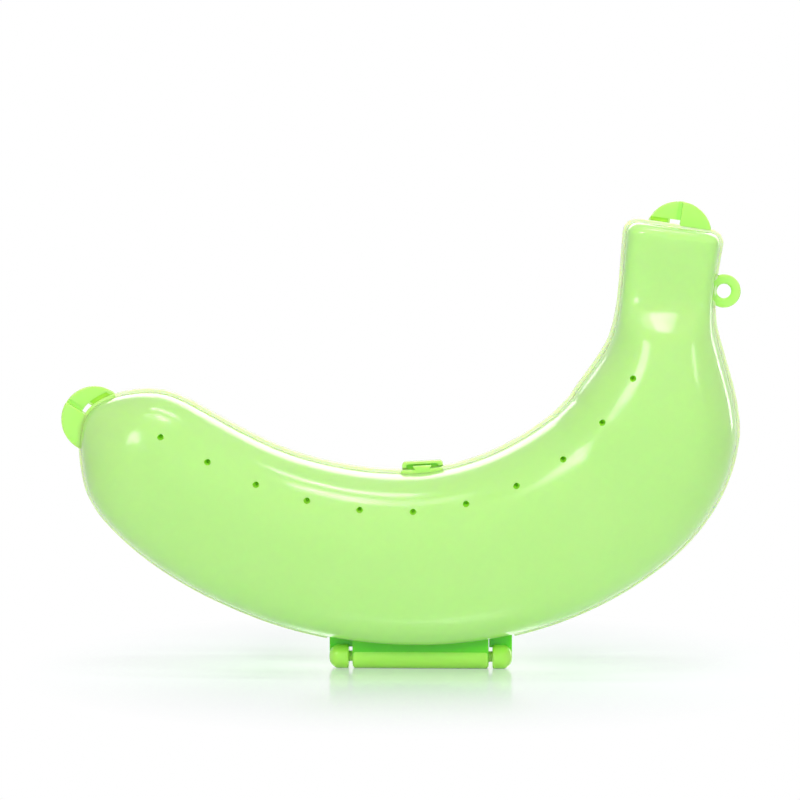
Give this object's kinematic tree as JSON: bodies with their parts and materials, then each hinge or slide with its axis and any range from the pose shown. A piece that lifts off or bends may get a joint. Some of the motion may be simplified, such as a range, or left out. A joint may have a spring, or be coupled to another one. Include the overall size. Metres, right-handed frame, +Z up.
{
  "type": "banana carrying case",
  "caption": "Hinged clamshell carrying case in the shape of a banana, with vent holes, a rim clasp, pull tabs at both ends and a lanyard ring on the neck.",
  "frame": {"origin": "on the floor under the middle of the hinge, in the plane where the two halves meet", "axes": "+X from the blunt tip towards the neck along the hinge, +Y from the front half to the rear half, +Z up from the hinge to the clasp"},
  "size_m": [0.1996, 0.0484, 0.138],
  "materials": {
    "shell": "glossy injection-moulded polypropylene",
    "rim": "glossy injection-moulded polypropylene",
    "hinge": "glossy injection-moulded polypropylene"
  },
  "bodies": {
    "rear_half": {"rear_shell": "shell", "rear_rim": "rim", "locating_lip": "shell", "rear_tip_tab": "rim", "rear_neck_tab": "rim", "lanyard_ring": "rim", "left_knuckle": "hinge", "right_knuckle": "hinge", "hinge_pin": "hinge", "clasp_keeper": "rim"},
    "front_half": {"front_shell": "shell", "front_rim": "rim", "front_tip_tab": "rim", "front_neck_tab": "rim", "hinge_barrel": "hinge", "clasp_tongue": "rim"}
  },
  "joints": [
    {"name": "case_hinge", "type": "hinge", "parent": "rear_half", "child": "front_half", "pos_m": [0, 0, 0.0035], "axis": [1, 0, 0], "range_deg": [0, 180]}
  ]
}
